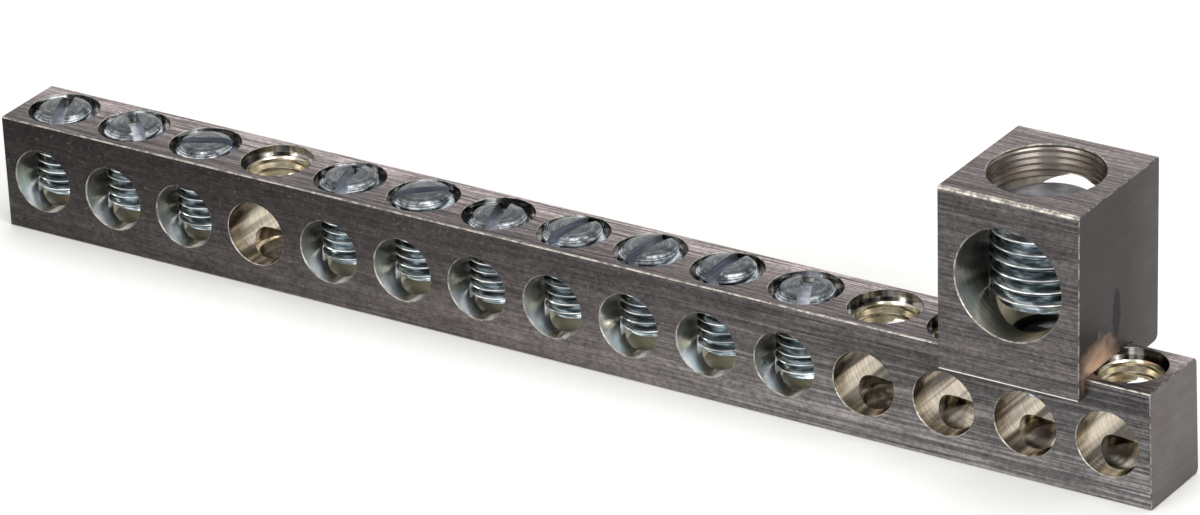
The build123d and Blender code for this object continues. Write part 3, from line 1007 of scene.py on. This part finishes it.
def stage_lamp(name, place, target, size, watts, tint="ffffff"):
    data = bpy.data.lights.new(name, "AREA")
    data.shape = "RECTANGLE"
    data.size, data.size_y = size
    data.energy = watts
    data.color = colour(tint)[:3]
    lamp = bpy.data.objects.new(name, data)
    lamp.location = place
    lamp.rotation_euler = (Vector(target) - Vector(place)).to_track_quat("-Z", "Y").to_euler()
    bpy.context.collection.objects.link(lamp)
    return lamp


class GROUNDBAR_OT_stage(bpy.types.Operator):
    """Makes the camera, the pale floor, the lamps and the world"""

    bl_idname = "ground_bar.stage"
    bl_label = "Stage"

    def execute(self, context):
        scene = context.scene
        scene.view_settings.view_transform = "Standard"
        self.camera(scene)
        self.floor()
        self.world(scene)
        stage_lamp("right_softbox", (0.58, -0.24, 0.31), (0.0, 0.0, 0.01), (0.45, 0.35), 3.0)
        stage_lamp("front_softbox", (-0.10, -0.63, 0.31), (0.0, 0.0, 0.01), (0.45, 0.35), 2.0)
        stage_lamp("top_softbox", (0.0, 0.12, 0.70), (0.0, 0.0, 0.0), (0.5, 0.4), 2.0)
        return {"FINISHED"}

    def camera(self, scene):
        data = bpy.data.cameras.new("photo_camera")
        data.sensor_width = 36.0
        data.lens = FOCAL_PIXELS / PHOTO_WIDTH * data.sensor_width
        data.clip_start = 0.01
        camera = bpy.data.objects.new("photo_camera", data)
        cos_dip, sin_dip = math.cos(CAMERA_DIP), math.sin(CAMERA_DIP)
        ahead = Vector((-math.sin(CAMERA_YAW) * cos_dip, math.cos(CAMERA_YAW) * cos_dip, -sin_dip))
        right = Vector((math.cos(CAMERA_YAW), math.sin(CAMERA_YAW), 0))
        up = right.cross(ahead)
        cos_roll, sin_roll = math.cos(CAMERA_ROLL), math.sin(CAMERA_ROLL)
        right, up = cos_roll * right + sin_roll * up, cos_roll * up - sin_roll * right
        turn = Matrix((right, up, -ahead)).transposed().to_4x4()
        camera.matrix_world = Matrix.Translation(Vector(CAMERA_PLACE_MM) * MM) @ turn
        bpy.context.collection.objects.link(camera)
        scene.camera = camera

    def floor(self):
        bm = bmesh.new()
        bmesh.ops.create_grid(bm, x_segments=1, y_segments=1, size=3.0)
        mesh = bpy.data.meshes.new("floor")
        bm.to_mesh(mesh)
        bm.free()
        floor = bpy.data.objects.new("floor", mesh)
        bpy.context.collection.objects.link(floor)
        material, tree, shader = new_material("pale_floor", Roughness=0.6)
        shader.inputs["Base Color"].default_value = colour(settings().floor_colour)
        mesh.materials.append(material)

    def world(self, scene):
        world = bpy.data.worlds.new("studio")
        world.use_nodes = True
        tree = world.node_tree
        tree.nodes.clear()
        path = add_node(tree, "ShaderNodeLightPath")
        seen = path.outputs["Is Camera Ray"]
        for kind in ("Is Glossy Ray", "Is Transmission Ray"):
            seen = add_node(
                tree, "ShaderNodeMath", {0: seen, 1: path.outputs[kind]}, operation="MAXIMUM").outputs[0]
        light = add_node(tree, "ShaderNodeBackground", {"Color": grey(1.0), "Strength": 0.55})
        backdrop = add_node(tree, "ShaderNodeBackground", {"Color": grey(1.0), "Strength": 1.0})
        mix = add_node(tree, "ShaderNodeMixShader", {0: seen, 1: light.outputs[0], 2: backdrop.outputs[0]})
        add_node(tree, "ShaderNodeOutputWorld", {0: mix.outputs[0]})
        scene.world = world


class GROUNDBAR_PT_panel(bpy.types.Panel):
    """Lists the pieces of the ground bar"""

    bl_idname = "GROUNDBAR_PT_panel"
    bl_label = "Ground Bar"
    bl_space_type = "VIEW_3D"
    bl_region_type = "UI"
    bl_category = "Ground Bar"

    def draw(self, context):
        for operator in OPERATORS:
            self.layout.operator(operator.bl_idname)


OPERATORS = (
    GROUNDBAR_OT_stage, GROUNDBAR_OT_bar, GROUNDBAR_OT_set_screws, GROUNDBAR_OT_lug,
    GROUNDBAR_OT_lug_screws, GROUNDBAR_OT_tapped_threads)


def register():
    for one in (GroundBarSettings, *OPERATORS, GROUNDBAR_PT_panel):
        bpy.utils.register_class(one)
    bpy.types.Scene.ground_bar = bpy.props.PointerProperty(type=GroundBarSettings)


def unregister():
    del bpy.types.Scene.ground_bar
    for one in reversed((GroundBarSettings, *OPERATORS, GROUNDBAR_PT_panel)):
        bpy.utils.unregister_class(one)


def main():
    register()
    bpy.ops.ground_bar.stage()
    bpy.ops.ground_bar.bar()
    bpy.ops.ground_bar.set_screws()
    bpy.ops.ground_bar.lug()
    bpy.ops.ground_bar.lug_screws()
    bpy.ops.ground_bar.tapped_threads()


if __name__ == "__main__":
    main()
